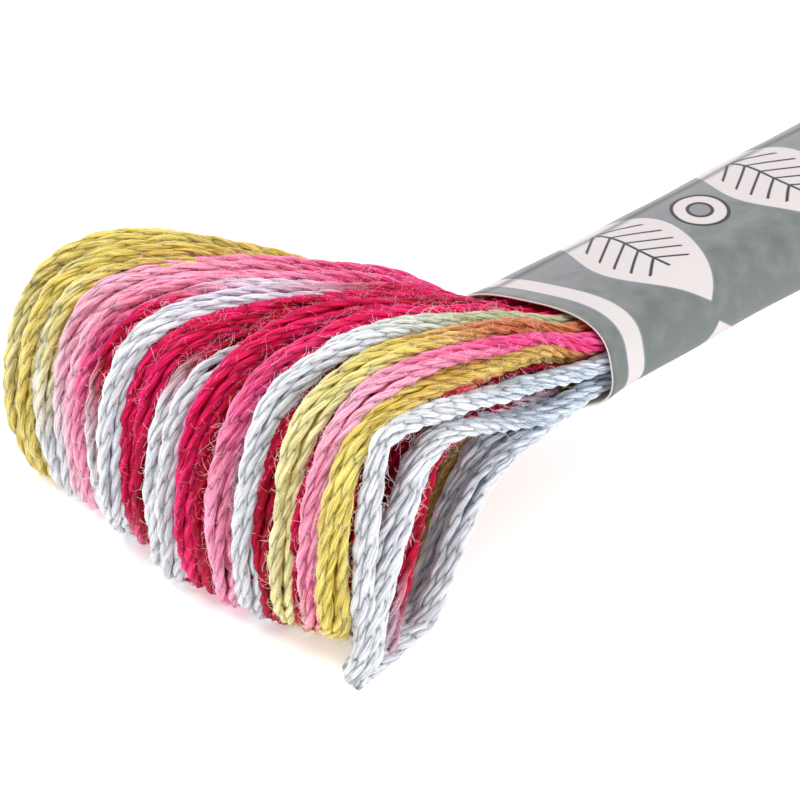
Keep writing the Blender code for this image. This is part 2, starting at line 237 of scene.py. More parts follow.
def inside_sleeve(turn):
    """(y, z) of the turn's outward and homeward runs within the sleeve."""
    size = turn["layer"] * BUNDLE_HALF_WIDTH, turn["layer"] * BUNDLE_HALF_HEIGHT
    return sleeve_section(turn["top"], *size), sleeve_section(turn["low"], *size)


def fan_route(turn):
    """Centre line of the fanned loop: up over its crest, round its nose, home on the table."""
    (y_top, z_top), (y_low, z_low) = inside_sleeve(turn)
    reach, high, crest = turn["reach"], turn["height"], turn["crest"]

    def out(share, z):
        return -share * reach, y_top + (turn["nose_y"] - y_top) * share, z

    def home(share, rise):
        y = y_low + (turn["foot_y"] - y_low) * share
        return -share * turn["foot_x"], y, ON_TABLE + (z_low - ON_TABLE) * rise

    route = smooth_curve([
        (SLEEVE_LENGTH / 2, y_top, z_top),
        (STRAIGHT, y_top, z_top),
        (0.0, y_top, z_top),
        out(0.24, z_top + turn["climb"] * (high - z_top)),
        out(crest, high),
        *(out(crest + (1 - crest) * on, max(high * rise, ON_TABLE)) for on, rise in turn["shape"]),
        home(1.0, 0.0),
        home(0.87, 0.0),
        home(0.72, 0.03),
        home(0.64, 0.30),
        home(0.55, 0.76),
        home(0.45, 1.02),
        home(0.21, 1.04),
        (0.0, y_low, z_low),
        (STRAIGHT, y_low, z_low),
        (SLEEVE_LENGTH / 2, y_low, z_low),
    ], ROUTE_POINTS)
    route[:, 2] = np.maximum(route[:, 2], ON_TABLE)
    return route


def tail_route(turn, index):
    """Centre line of the plain end's loop: along an oval bundle, round its nose and back."""
    (y_top, z_top), (y_low, z_low) = inside_sleeve(turn)
    off_middle = (turn["top"] - TOP_MIDDLE) / TOP_SPREAD
    reach = TAIL_REACH - TAIL_ROUNDING * off_middle**2
    reach += TAIL_UNEVEN * np.sin(TAIL_UNEVEN_STEP * index)
    reach -= TAIL_INNER_SHORTER * (1.0 - turn["layer"])

    def bundle(degrees, swell):
        size = swell * (TAIL_INNERMOST + (1 - TAIL_INNERMOST) * turn["layer"])
        y, z = oblong(degrees, TAIL_HALF_WIDTH * size, TAIL_HALF_HEIGHT * size, TAIL_SQUARENESS)
        return y, max(TAIL_MIDDLE_Z + z, ON_TABLE)

    y_out, z_out = bundle(turn["top"], 1.0)
    y_home, z_home = bundle(turn["low"], 1.0)
    end = SLEEVE_LENGTH
    route = smooth_curve([
        (end / 2, y_top, z_top),
        (end - STRAIGHT, y_top, z_top),
        (end, y_top, z_top),
        (end + 9.0, 0.55 * y_top + 0.45 * y_out, 0.5 * z_top + 0.5 * z_out),
        (end + 24.0, y_out, z_out),
        (end + 50.0, *bundle(turn["top"], 1.03)),
        (end + 0.88 * reach, *bundle(turn["top"], 0.98)),
        (end + 0.975 * reach, *bundle(turn["top"], 0.86)),
        (end + reach, 0.44 * (y_out + y_home), TAIL_MIDDLE_Z),
        (end + 0.98 * reach, *bundle(turn["low"], 0.86)),
        (end + 0.90 * reach, *bundle(turn["low"], 0.98)),
        (end + 50.0, *bundle(turn["low"], 1.03)),
        (end + 22.0, y_home, z_home),
        (end + 10.0, 0.5 * (y_low + y_home), 0.5 * (z_low + z_home)),
        (end, y_low, z_low),
        (end - STRAIGHT, y_low, z_low),
        (end / 2, y_low, z_low),
    ], ROUTE_POINTS)
    route[:, 2] = np.maximum(route[:, 2], ON_TABLE)
    return route


def slow_waves(along, random, size, longest):
    """A smooth wander: three sine waves of falling length and height, at random phases."""
    waves = np.zeros_like(along)
    for part in (1.0, 0.46, 0.21):
        phase = random.uniform(0, 2 * np.pi)
        waves += size * part * np.sin(2 * np.pi * along / (longest * part) + phase)
    return waves


def distances(points):
    """Length so far at each point of a line."""
    return np.concatenate([[0.0], np.cumsum(np.linalg.norm(np.diff(points, axis=0), axis=1))])


def even_steps(route, steps):
    """Points, length so far and direction at even steps along a route.

    The step is steps[0] on the way out and round, steps[1] on the way home, and longer
    inside the sleeve, where nothing shows.
    """
    length = distances(route)
    beyond = np.maximum(-route[:, 0], route[:, 0] - SLEEVE_LENGTH)
    first, last = length[beyond > -SEEN_INSIDE][[0, -1]]
    turning = first + HOMEWARD_FROM * (last - first)
    at = np.concatenate([
        np.linspace(0.0, first, HIDDEN_RINGS)[:-1],
        np.linspace(first, turning, int((turning - first) / steps[0]))[:-1],
        np.linspace(turning, last, int((last - turning) / steps[1])),
        np.linspace(last, length[-1], HIDDEN_RINGS)[1:],
    ])
    slope = np.gradient(route, length, axis=0)
    points = np.stack([np.interp(at, length, route[:, k]) for k in range(3)], axis=1)
    ahead = np.stack([np.interp(at, length, slope[:, k]) for k in range(3)], axis=1)
    return points, at, ahead / np.linalg.norm(ahead, axis=1, keepdims=True)


def waves_for(count, along, random, wave):
    """Rows of slow waves, one for each strand or ply."""
    return np.array([slow_waves(along, random, *wave) for _ in range(count)])


def strand_tubes(route, steps, plies, turn, random):
    """Six strands round a route, as tubes (tube, station, side, xyz) with their data.

    A strand's middle goes round a flat oval across the route, once in a thread pitch, and
    wanders a little. Each of its two plies goes round that middle once in a ply pitch, a
    ply offset away; with plies=1 one plain tube stands for both. The oval narrows and
    thickens towards the sleeve. A point's crease is how far it lies inside the thread's
    own oval, and how far inside the round of its strand; it sets the painted crease shade.
    """
    points, along, ahead = even_steps(route, steps)
    beyond = np.maximum(-points[:, 0], points[:, 0] - SLEEVE_LENGTH)
    loose = np.clip(beyond / LOOSENING + LOOSE_AT_MOUTH, 0.0, 1.0)
    loose = loose * loose * (3 - 2 * loose)
    lean = np.radians(turn["lean"]) * np.clip(-points[:, 0] / LEANING, 0.0, 1.0)
    facing = FLAT_SIDE_TURNED * loose
    across = np.stack([
        -np.sin(facing), np.cos(facing) * np.cos(lean), -np.cos(facing) * np.sin(lean)], axis=1)
    out = np.cross(across, ahead)
    out /= np.linalg.norm(out, axis=1, keepdims=True)
    across = np.cross(ahead, out)

    width = TIGHT_WIDTH + (LOOSE_WIDTH * turn["spread"] - TIGHT_WIDTH) * loose
    depth = TIGHT_DEPTH + (LOOSE_DEPTH - TIGHT_DEPTH) * loose
    width = width * (1 + slow_waves(along, random, *WIDTH_WAVE))
    depth = depth * (1 + slow_waves(along, random, *DEPTH_WAVE))

    twist = np.arange(STRANDS)[:, None] / STRANDS + along / THREAD_PITCH + random.uniform()
    twist = 2 * np.pi * twist + waves_for(STRANDS, along, random, THREAD_WAVE)
    strand_side = width * np.cos(twist) + loose * waves_for(STRANDS, along, random, SIDE_WAVE)
    strand_out = depth * np.sin(twist) + loose * waves_for(STRANDS, along, random, OUT_WAVE)
    strand_side, strand_out = np.tile(strand_side, (plies, 1)), np.tile(strand_out, (plies, 1))

    ply = 2 * np.pi * (along / PLY_PITCH + random.uniform(size=(STRANDS, 1)))
    ply = ply + waves_for(STRANDS, along, random, PLY_WAVE)
    ply = np.concatenate([ply, ply + np.pi])[:plies * STRANDS]
    radius, offset = (PLY_RADIUS, PLY_OFFSET) if plies == 2 else (STRAND_RADIUS, 0.0)
    radius = radius * (1 + waves_for(plies * STRANDS, along, random, RADIUS_WAVE))[..., None]
    side = 2 * np.pi * np.arange(TUBE_SIDES) / TUBE_SIDES
    off_side = (offset * np.cos(ply))[..., None] + radius * np.cos(side)
    off_out = (offset * np.sin(ply))[..., None] + radius * np.sin(side)
    skin_side = strand_side[..., None] + STRAND_FLATNESS * off_side
    skin_out = strand_out[..., None] + off_out
    tubes = points[:, None] + skin_side[..., None] * across[:, None]
    tubes = tubes + skin_out[..., None] * out[:, None]
    tubes[..., 2] = np.maximum(tubes[..., 2], LOWEST_SKIN)

    in_thread = np.hypot(skin_side / (width + STRAND_FLATNESS * STRAND_RADIUS)[:, None],
                         skin_out / (depth + STRAND_RADIUS)[:, None])
    in_strand = np.hypot(off_side, off_out) / STRAND_RADIUS
    # Painted shade: the deeper a point lies in a crease between strands or plies, the darker and
    # deeper its dye.
    crease_shade = THREAD_CREASE_SHADE * np.clip((THREAD_CREASE_FROM - in_thread) / THREAD_CREASE_OVER, 0, 1)
    crease_shade += PLY_CREASE_SHADE * np.clip((PLY_CREASE_FROM - in_strand) / PLY_CREASE_OVER, 0, 1)
    # A modelled ply shows one slow seam of painted shade of its own; a plain tube shows its plies
    # here, as painted seam shade.
    turns_along = along / SEAM_PITCH if plies == 2 else -along / PLY_PITCH
    phase = np.broadcast_to(side / (2 * np.pi) + turns_along[:, None], tubes.shape[:3])
    return {
        "tubes": tubes, "along": along, "phase": phase, "out": out, "crease_shade": crease_shade,
        "plies": plies,
    }


def linear(colour):
    """Linear light of a colour given as it looks on a screen."""
    colour = np.asarray(colour, float)
    return np.where(colour <= 0.04045, colour / 12.92, ((colour + 0.055) / 1.055) ** 2.4)


def dye_along(shares, keys, at):
    """Colour at each share of a run: straight steps between the keys' colours."""
    table = linear([DYES[key] for key in keys])
    return np.stack([np.interp(shares, at, table[:, k]) for k in range(3)], axis=-1)


def strand_dyes(tubes, turn, index, fan, random):
    """Dyes (tube, station, side, rgb and painted seam shade); each strand changes colour a little
    apart.

    Painted shade in a crease raises the dye to a higher power, 1 + its saturating share times the
    crease's depth, and darkens it a little.
    """
    shares = tubes["along"] / tubes["along"][-1]
    shift = random.uniform(-STRAND_DYE_SHIFT, STRAND_DYE_SHIFT, (STRANDS, 1))
    shares = shares + np.tile(shift, (tubes["plies"], 1))
    if fan:
        hidden = SLEEVE_LENGTH / 2 / tubes["along"][-1]
        at = hidden + (1 - 2 * hidden) * np.array(DYE_AT)
        colours = dye_along(shares, turn["dyes"], at)
    else:
        first = TAIL_DYE_STEP * index
        keys = [TAIL_DYES[(first + k) % len(TAIL_DYES)] for k in range(TAIL_DYE_KEYS)]
        colours = dye_along(shares, keys, np.linspace(0.0, 1.0, TAIL_DYE_KEYS))
    shade = 1 + random.uniform(-STRAND_DYE_SHADE, STRAND_DYE_SHADE, (len(colours), 1, 1))
    colours = np.clip(colours * shade, 0.0, 1.0)[:, :, None]
    # Painted crease shade: the dye raised to a higher power and darkened.
    crease_shade = tubes["crease_shade"][..., None]
    colours = colours ** (1 + CREASE_SHADE_SATURATES * crease_shade) * (1 - CREASE_SHADE_DARKENS * crease_shade)
    # How much painted seam shade the shader draws on these tubes, kept in the dye's fourth value.
    seam_shade = np.full(colours.shape[:3] + (1,), PLY_SEAM_SHADE if tubes["plies"] == 2 else PLAIN_SEAM_SHADE)
    return np.concatenate([colours, seam_shade], axis=3)


def surface(name, points, faces, corner_maps, dyes=None):
    """Mesh object from points, groups of faces of one size, and values for each face corner.

    dyes: red, green, blue and, in the fourth place, how much painted ply seam shade the shader
    draws.
    """
    mesh = bpy.data.meshes.new(name)
    mesh.vertices.add(len(points))
    mesh.vertices.foreach_set("co", points.astype(np.float32).ravel())
    corners = np.concatenate([group.ravel() for group in faces])
    sizes = np.concatenate([np.full(len(group), group.shape[1]) for group in faces])
    mesh.loops.add(len(corners))
    mesh.loops.foreach_set("vertex_index", corners.astype(np.int32))
    mesh.polygons.add(len(sizes))
    mesh.polygons.foreach_set("loop_start", (np.cumsum(sizes) - sizes).astype(np.int32))
    mesh.update(calc_edges=True)
    mesh.shade_smooth()
    for map_name, values in corner_maps.items():
        layer = mesh.uv_layers.new(name=map_name)
        layer.uv.foreach_set("vector", values.astype(np.float32).ravel())
    if dyes is not None:
        colours = mesh.color_attributes.new("dye", "FLOAT_COLOR", "POINT")
        colours.data.foreach_set("color", dyes.astype(np.float32).ravel())
    mesh.validate()
    made = bpy.data.objects.new(name, mesh)
    bpy.context.scene.collection.objects.link(made)
    return made


def tube_faces(count, stations, sides, first):
    """Quads between neighbouring rings of each tube, and a flat cap at both its ends."""
    index = first + np.arange(count * stations * sides).reshape(count, stations, sides)
    beside = np.roll(index, -1, axis=2)
    quads = np.stack([index[:, :-1], index[:, 1:], beside[:, 1:], beside[:, :-1]], axis=-1)
    return quads.reshape(-1, 4), np.concatenate([index[:, 0], index[:, -1, ::-1]])


def at_corners(first, second):
    """Two grids (tube, station, side and one more) as pairs at the corners of tube_faces."""
    grid = np.stack(np.broadcast_arrays(first, second), axis=-1)
    quads = np.stack([
        grid[:, :-1, :-1], grid[:, 1:, :-1], grid[:, 1:, 1:], grid[:, :-1, 1:]], axis=-2)
    caps = np.concatenate([grid[:, 0, :-1], grid[:, -1, :-1][:, ::-1]])
    return np.concatenate([quads.reshape(-1, 2), caps.reshape(-1, 2)])


def twist_map(tubes):
    """(length, turns round the tube) at each corner, with the strands' lengths set apart."""
    shift = STRAND_SHIFT * np.arange(len(tubes["phase"]))
    phase = np.concatenate([tubes["phase"], tubes["phase"][..., :1] + 1], axis=2)
    return at_corners(tubes["along"][:, None] + shift[:, None, None], phase)


def bake_map(along, count, sides, row, rows):
    """(share of the length, place in a strip of its own) at each corner, a row for each tube."""
    strip = row + np.arange(count)[:, None, None]
    strip = strip + np.linspace(TUBE_MARGIN, 1 - TUBE_MARGIN, sides + 1)
    return at_corners((along / along[-1])[:, None], strip / rows)


def wound_turn(turn, index):
    """One turn of the thread: the fanned loop and the plain end's loop, in one mesh."""
    random = np.random.default_rng(TURN_SEED + index)
    fan_steps = OUTER_STEPS if turn["layer"] > INNER_LAYER else INNER_STEPS
    near = strand_tubes(fan_route(turn), fan_steps, 2, turn, random)
    far = strand_tubes(tail_route(turn, index), TAIL_STEPS, 1, turn, random)
    rows = len(near["tubes"]) + len(far["tubes"])
    points, faces, dyes, twist, bake = [], [], [], [], []
    first = row = 0
    for tubes in (near, far):
        count, stations, sides = tubes["tubes"].shape[:3]
        tubes["dyes"] = strand_dyes(tubes, turn, index, tubes is near, random)
        points.append(tubes["tubes"].reshape(-1, 3))
        dyes.append(tubes["dyes"].reshape(-1, 4))
        faces += tube_faces(count, stations, sides, first)
        twist.append(twist_map(tubes))
        bake.append(bake_map(tubes["along"], count, sides, row, rows))
        first += count * stations * sides
        row += count
    maps = {"twist": np.concatenate(twist), "OFBake": np.concatenate(bake)}
    made = surface(
        "turn_" + turn["name"], place(np.concatenate(points)), faces, maps,
        np.concatenate(dyes))
    return made, near


# The painted shade of the seam between two plies, and the noise of the fibres and of the dye's
# clouds.
SEAM_SHADE_DEPTH, SEAM_SHARPNESS, SEAM_SHADE_DEEPENS = 0.38, 0.6, 1.1
PALE_FADES = 0.62  # how much fainter seams and streaks are on white
FIBRE_SCALE, FIBRE_DETAIL, FIBRE_COARSENESS, FIBRE_DRAWN_OUT = 2.6, 3.0, 0.6, 0.45
CLOUD_SCALE, CLOUD_DETAIL, CLOUD_CONTRAST = 0.60, 2.0, 0.24
FIBRE_CONTRAST, DYED_LIGHT = 3.9, 0.96
LEAST_ROUGH, FIBRE_ROUGH = 0.45, 0.25
FLOSS_SPECULAR, FLOSS_SUBSURFACE, FLOSS_DEPTH = 0.10, 0.8, 0.32
FLOSS_BUMP, FLOSS_BUMP_HEIGHT = 0.70, 0.05


def math_node(tree, operation, *values, clamp=False):
    """A Math node in a node tree; its inputs are numbers or other nodes' outputs."""
    node = tree.nodes.new("ShaderNodeMath")
    node.operation = operation
    node.use_clamp = clamp
    for slot, value in enumerate(values):
        if isinstance(value, (int, float)):
            node.inputs[slot].default_value = value
        else:
            tree.links.new(value, node.inputs[slot])
    return node.outputs[0]


def noise_node(tree, vector, scale, detail):
    """A noise texture read at a vector."""
    node = tree.nodes.new("ShaderNodeTexNoise")
    node.inputs["Scale"].default_value = scale
    node.inputs["Detail"].default_value = detail
    tree.links.new(vector, node.inputs["Vector"])
    return node


def node_group(name, inputs, outputs):
    """Empty shader group with named sockets, its input node and its output node."""
    group = bpy.data.node_groups.new(name, "ShaderNodeTree")
    for in_out, sockets in (("INPUT", inputs), ("OUTPUT", outputs)):
        for socket, kind in sockets.items():
            group.interface.new_socket(socket, in_out=in_out, socket_type="NodeSocket" + kind)
    return group, group.nodes.new("NodeGroupInput"), group.nodes.new("NodeGroupOutput")


def twisted_cotton_group():
    """Shader group: painted shade in the seams between the plies and long fine fibres along them.

    Seam: one minus |cos| of the ply phase raised to a power. Fibres and clouds: noise
    drawn out along the strand, read on (length, cos phase, sin phase) so that it closes.
    Light spreads further in pale cotton, so seams and streaks fade as the dye gets paler.
    """
    group, start, end = node_group(
        "twisted_cotton",
        {"Dye": "Color", "Twist": "Vector", "Seam shade depth": "Float", "Fibre contrast": "Float"},
        {"Colour": "Color", "Height": "Float", "Roughness": "Float"},
    )
    nodes, links = group.nodes, group.links

    def maths(operation, *values):
        return math_node(group, operation, *values)

    split = nodes.new("ShaderNodeSeparateXYZ")
    links.new(start.outputs["Twist"], split.inputs[0])
    angle = maths("MULTIPLY", split.outputs["Y"], 2 * np.pi)
    cos, sin = maths("COSINE", angle), maths("SINE", angle)
    ring = nodes.new("ShaderNodeCombineXYZ")
    links.new(maths("MULTIPLY", split.outputs["X"], FIBRE_DRAWN_OUT), ring.inputs["X"])
    links.new(cos, ring.inputs["Y"])
    links.new(sin, ring.inputs["Z"])
    noise = noise_node(group, ring.outputs[0], FIBRE_SCALE, FIBRE_DETAIL)
    noise.inputs["Roughness"].default_value = FIBRE_COARSENESS
    fibre = noise.outputs[0]
    cloud = noise_node(group, ring.outputs[0], CLOUD_SCALE, CLOUD_DETAIL).outputs[0]

    paleness = nodes.new("ShaderNodeRGBToBW")
    links.new(start.outputs["Dye"], paleness.inputs[0])
    fainter = maths("MULTIPLY_ADD", paleness.outputs[0], -PALE_FADES, 1.0)
    # Painted shade: the seam lowers the colour's value and deepens its dye.
    seam_shade = maths("SUBTRACT", 1.0, maths("POWER", maths("ABSOLUTE", cos), SEAM_SHARPNESS))
    seam_shade = maths("MULTIPLY", seam_shade, start.outputs["Seam shade depth"])
    seam_shade = maths("MULTIPLY", seam_shade, fainter)
    streak = maths("SUBTRACT", fibre, 0.5)
    streak = maths("MULTIPLY", streak, start.outputs["Fibre contrast"])
    streak = maths("MULTIPLY", streak, fainter)
    patch = maths("MULTIPLY_ADD", cloud, CLOUD_CONTRAST, -CLOUD_CONTRAST / 2)
    light = maths("ADD", maths("SUBTRACT", DYED_LIGHT, seam_shade), streak)
    light = maths("ADD", light, patch)
    # Painted shade in a seam: the same dye, only deeper, the colour raised to a higher power
    # there.
    deepen = nodes.new("ShaderNodeGamma")
    links.new(start.outputs["Dye"], deepen.inputs["Color"])
    links.new(maths("MULTIPLY_ADD", seam_shade, SEAM_SHADE_DEEPENS, 1.0), deepen.inputs["Gamma"])
    dyed = nodes.new("ShaderNodeHueSaturation")
    links.new(light, dyed.inputs["Value"])
    links.new(deepen.outputs[0], dyed.inputs["Color"])
    links.new(dyed.outputs[0], end.inputs["Colour"])
    # The same seam also lowers the bump's height.
    links.new(maths("SUBTRACT", fibre, seam_shade), end.inputs["Height"])
    links.new(maths("MULTIPLY_ADD", fibre, FIBRE_ROUGH, LEAST_ROUGH), end.inputs["Roughness"])
    return group


def principled(name, constants):
    """A material, its node tree and its Principled BSDF, with constants on its sockets."""
    material = bpy.data.materials.new(name)
    material.use_nodes = True
    shader = material.node_tree.nodes["Principled BSDF"]
    for socket, value in constants.items():
        shader.inputs[socket].default_value = value
    return material, material.node_tree, shader


def floss_material():
    """Mercerised cotton: the twisted cotton group on a softly glossy fibre."""
    material, tree, shader = principled("mercerised_cotton", {
        "Specular IOR Level": FLOSS_SPECULAR,
        "Subsurface Weight": FLOSS_SUBSURFACE,
        "Subsurface Radius": (1.0, 1.0, 1.0),
        "Subsurface Scale": FLOSS_DEPTH * MM,
    })
    cotton = tree.nodes.new("ShaderNodeGroup")
    cotton.node_tree = twisted_cotton_group()
    cotton.inputs["Fibre contrast"].default_value = FIBRE_CONTRAST
    dye = tree.nodes.new("ShaderNodeAttribute")
    dye.attribute_name = "dye"
    tree.links.new(dye.outputs["Color"], cotton.inputs["Dye"])
    # Painted seam shade: its depth, from the dye's fourth value.
    seam_shade = math_node(tree, "MULTIPLY", dye.outputs["Alpha"], SEAM_SHADE_DEPTH)
    tree.links.new(seam_shade, cotton.inputs["Seam shade depth"])
    twist = tree.nodes.new("ShaderNodeUVMap")
    twist.uv_map = "twist"
    tree.links.new(twist.outputs[0], cotton.inputs["Twist"])
    tree.links.new(cotton.outputs["Colour"], shader.inputs["Base Color"])
    tree.links.new(cotton.outputs["Roughness"], shader.inputs["Roughness"])
    bump = tree.nodes.new("ShaderNodeBump")
    bump.inputs["Strength"].default_value = FLOSS_BUMP
    bump.inputs["Distance"].default_value = FLOSS_BUMP_HEIGHT * MM
    tree.links.new(cotton.outputs["Height"], bump.inputs["Height"])
    tree.links.new(bump.outputs[0], shader.inputs["Normal"])
    return material


floss = floss_material()
turns = []
for index, row in enumerate(TURNS):
    turn = dict(zip(TURN_COLUMNS, row))
    made, near_tubes = wound_turn(turn, index)
    made.data.materials.append(floss)
    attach(made, "root")
    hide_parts("floss_hank")
    turns.append(near_tubes)


# ---------------------------------------------------------------------------
# Loose fibres. The cotton's short fibres work out of the twist all over the fan:
# thin curled hairs, each growing from a point on the skin of one ply.
# ---------------------------------------------------------------------------
HAIRS = 7900  # in each half of the fan
HAIR_RADIUS, HAIR_TAPER, HAIR_SUNK = 0.0085, 0.45, 0.02
HAIR_STATIONS, HAIR_SIDES = 4, 3
HAIR_LENGTHS, HAIR_SHORTNESS = (0.25, 1.3), (1.2, 3.0)  # the range, and its beta spread
HAIR_ARC = (-40.0, 220.0)  # round the thread from one flat edge over the top, in degrees
HAIR_SPAN = (0.14, 0.68)  # of a fanned loop, from its rise to where it comes down
HAIR_FLOOR = 0.15  # how far a hair that bends down stays above the table
# How a hair bends, in shares of its length: away from the skin, back towards it, to the
# side and along the thread; and its curl's radius, in the same shares, and its angle.
HAIR_RISE, HAIR_DROOP, HAIR_SWAY, HAIR_DRIFT = (0.15, 0.75), 0.3, (-0.7, 0.7), (-0.8, 0.8)
HAIR_CURL, HAIR_COIL = (0.03, 0.25), (-3.6, 3.6)
# A hair's colour is its thread's dye to this power, times a gain, plus a base.
HAIR_POWER, HAIR_GAIN, HAIR_BASE = 0.5, 0.74, 0.24
HAIR_ROUGHNESS, HAIR_SPECULAR = 0.6, 0.2


def fibre_roots(turns, random):
    """Roots on the threads' skin, the way each faces, the way its thread runs, its dye.

    For a random direction across a thread, the root is the thread's outermost point.
    """
    found = []
    per_turn = HAIRS // len(turns)
    for near in turns:
        grid = near["tubes"]
        stations, sides = grid.shape[1:3]
        first, last = (int(share * stations) for share in HAIR_SPAN)
        station = random.integers(first, last, per_turn)
        ring = np.swapaxes(grid[:, station], 0, 1).reshape(per_turn, -1, 3)
        ahead = grid[:, station + 1].mean(axis=(0, 2)) - grid[:, station].mean(axis=(0, 2))
        ahead /= np.linalg.norm(ahead, axis=1, keepdims=True)
        out = near["out"][station]
        angle = np.radians(random.uniform(*HAIR_ARC, (per_turn, 1)))
        skin = np.cos(angle) * np.cross(out, ahead) + np.sin(angle) * out
        outermost = np.einsum("nkc,nc->nk", ring, skin).argmax(axis=1)
        root = ring[np.arange(per_turn), outermost]
        dye = near["dyes"][outermost // sides, station, outermost % sides]
        found.append(np.concatenate([root, skin, ahead, dye], axis=1))
    found = np.concatenate(found)
    return found[:, :3], found[:, 3:6], found[:, 6:9], found[:, 9:]


def loose_fibres(name, turns, seed):
    """The turns' hairs in one mesh: arcs that leave the skin, bend along the thread and curl."""
    random = np.random.default_rng(seed)
    root, skin, ahead, dyes = fibre_roots(turns, random)
    count = len(root)
    beside = np.cross(skin, ahead)
    low, high = HAIR_LENGTHS
    length = low + (high - low) * random.beta(*HAIR_SHORTNESS, count)
    share = np.linspace(0.0, 1.0, HAIR_STATIONS)[None, :, None]

    def each(low, high):
        return random.uniform(low, high, count)[:, None, None]

    angle = each(*HAIR_COIL) * share + each(0, 2 * np.pi)
    rise, sway, drift = each(*HAIR_RISE), each(*HAIR_SWAY), each(*HAIR_DRIFT)
    curl = each(*HAIR_CURL)
    curl_out = curl * (np.sin(angle) - np.sin(angle[:, :1]))
    curl_on = curl * (np.cos(angle) - np.cos(angle[:, :1]))
    middle = skin[:, None] * (rise * share - HAIR_DROOP * share**2 + curl_out)
    middle = middle + ahead[:, None] * (drift * share + curl_on)
    middle = middle + beside[:, None] * (sway * share**2)
    middle = root[:, None] - HAIR_SUNK * skin[:, None] + length[:, None, None] * middle
    middle[..., 2] = np.maximum(middle[..., 2], HAIR_FLOOR)
    slope = np.gradient(middle, axis=1)
    slope /= np.linalg.norm(slope, axis=2, keepdims=True)
    across = np.cross(slope, beside[:, None])
    across /= np.linalg.norm(across, axis=2, keepdims=True)
    other = np.cross(across, slope)
    side = 2 * np.pi * np.arange(HAIR_SIDES)[:, None] / HAIR_SIDES
    radius = HAIR_RADIUS * (1.0 - HAIR_TAPER * share[..., None])
    rings = np.cos(side) * across[:, :, None] + np.sin(side) * other[:, :, None]
    rings = middle[:, :, None] + radius * rings
    dyes[:, :3] = HAIR_GAIN * dyes[:, :3] ** HAIR_POWER + HAIR_BASE
    return surface(
        name, place(rings.reshape(-1, 3)), tube_faces(count, HAIR_STATIONS, HAIR_SIDES, 0),
        {"OFBake": bake_map(share.ravel(), count, HAIR_SIDES, 0, count)},
        np.repeat(dyes, HAIR_STATIONS * HAIR_SIDES, axis=0),
    )


def fibre_material():
    """Single cotton fibres: their own colour, almost without gloss."""
    material, tree, shader = principled("cotton_fibre", {
        "Roughness": HAIR_ROUGHNESS, "Specular IOR Level": HAIR_SPECULAR})
    dye = tree.nodes.new("ShaderNodeAttribute")
    dye.attribute_name = "dye"
    tree.links.new(dye.outputs["Color"], shader.inputs["Base Color"])
    return material


single_fibre = fibre_material()
HALF = len(turns) // 2
for name, some, seed in (("far_fibres", turns[:HALF], 7), ("near_fibres", turns[HALF:], 8)):
    fibres = loose_fibres(name, some, seed)
    fibres.data.materials.append(single_fibre)
    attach(fibres, "root")
    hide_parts("floss_hank")


# ---------------------------------------------------------------------------
# The paper sleeve. One strip of printed paper is rolled round the middle of the
# floss and glued to itself underneath, where its end laps over its start.
# ---------------------------------------------------------------------------
PAPER = 0.10
LAP_START, LAP_DEGREES = 250.0, 44.0  # where the strip starts, and how far it laps over
LAP_STEP, LAP_EASE = 0.16, 15.0  # how far the lap rises, in the degrees just before it
UPPER_MIDDLE = 450.0  # degrees at the middle of the upper side, on the strip's first round
SLEEVE_STATIONS, SLEEVE_SIDES = 64, 120
STATION_ANGLE = 0.42 * np.pi  # stations lie at the sines of even angles up to this one
# The paper's ripples, as (height, waves along, waves round, phase), and its flare at a mouth.
RIPPLES = ((0.030, 0.31, 2.0, 0.0), (0.022, 0.83, -3.0, 1.0))
FLARE, FLARE_LENGTH, FLARE_UNEVEN, FLARE_TURNED = 0.10, 0.9, 0.5, 0.6
SHEET_MARGIN, RIM_LOW, RIM_HIGH = 0.02, 0.002, 0.012  # places in the bake's map
PAPER_ROUGHNESS, PAPER_SPECULAR = 0.45, 0.25

UNPRINTED = -100.0  # where the back of the paper sits along the print: well off its design
STRIPE_MIDDLE, STRIPE_HALF = 1.75, 0.60
LEAF_PITCH, FIRST_LEAF, CLEAR_OF_MOUTH = 10.0, 7.5, 3.3
LEAF_HALF_WIDTH, LEAF_ROUNDNESS, LEAF_EDGE, LEAF_SWAY = 4.16, 1.6, 0.55, 0.7
VEIN_PITCH, VEIN_SLANT, VEIN_HALF, VEIN_GAP, VEIN_REACH = 1.25, -0.8, 0.085, 0.8, 3.0
BUTTON_HALF, BUTTON_HOLE, BUTTON_LENGTH, BUTTON_RIM = 1.40, 0.62, 1.35, 0.09
PRINT_RIM, PRINT_SOFTNESS = 0.05, 0.06
MOTTLE_SCALE, MOTTLE_DETAIL, MOTTLE_CONTRAST, MOTTLE_FROM = 0.9, 5.0, 1.8, -0.75
NEAR_SIDE_SHADE = 0.13  # painted shade: how much more of the deep grey each millimetre round towards the near side
# A soft dark line of painted shade along the upper side, where the paper bends down at its far
# edge: where, how wide, how soft, how dark.
SHADE_LINE_AT, SHADE_LINE_HALF, SHADE_LINE_SOFTNESS, SHADE_LINE_DARKNESS = -2.9, 0.25, 0.45, 0.65
# The deep grey is both the print's mottle and the painted shade towards the near side.
PRINT_GREY, PRINT_MOTTLE_AND_SHADE_GREY = (0.50, 0.50, 0.51), (0.385, 0.41, 0.395)
# The dark draws the print's veins and outlines and also the painted shade line.
PRINT_PALE, PRINT_LINE, PRINT_AND_SHADE_DARK = (0.77, 0.74, 0.74), (0.45, 0.49, 0.53), (0.20, 0.20, 0.23)
PAPER_BACK = (0.90, 0.89, 0.87)
PRINT_START = -1.0  # along the print's map: the strip's back lies before it

whole_turn = sleeve_section(np.arange(361.0), SLEEVE_HALF_WIDTH, SLEEVE_HALF_HEIGHT)
SLEEVE_ROUND = distances(np.stack(whole_turn, axis=1))[-1]


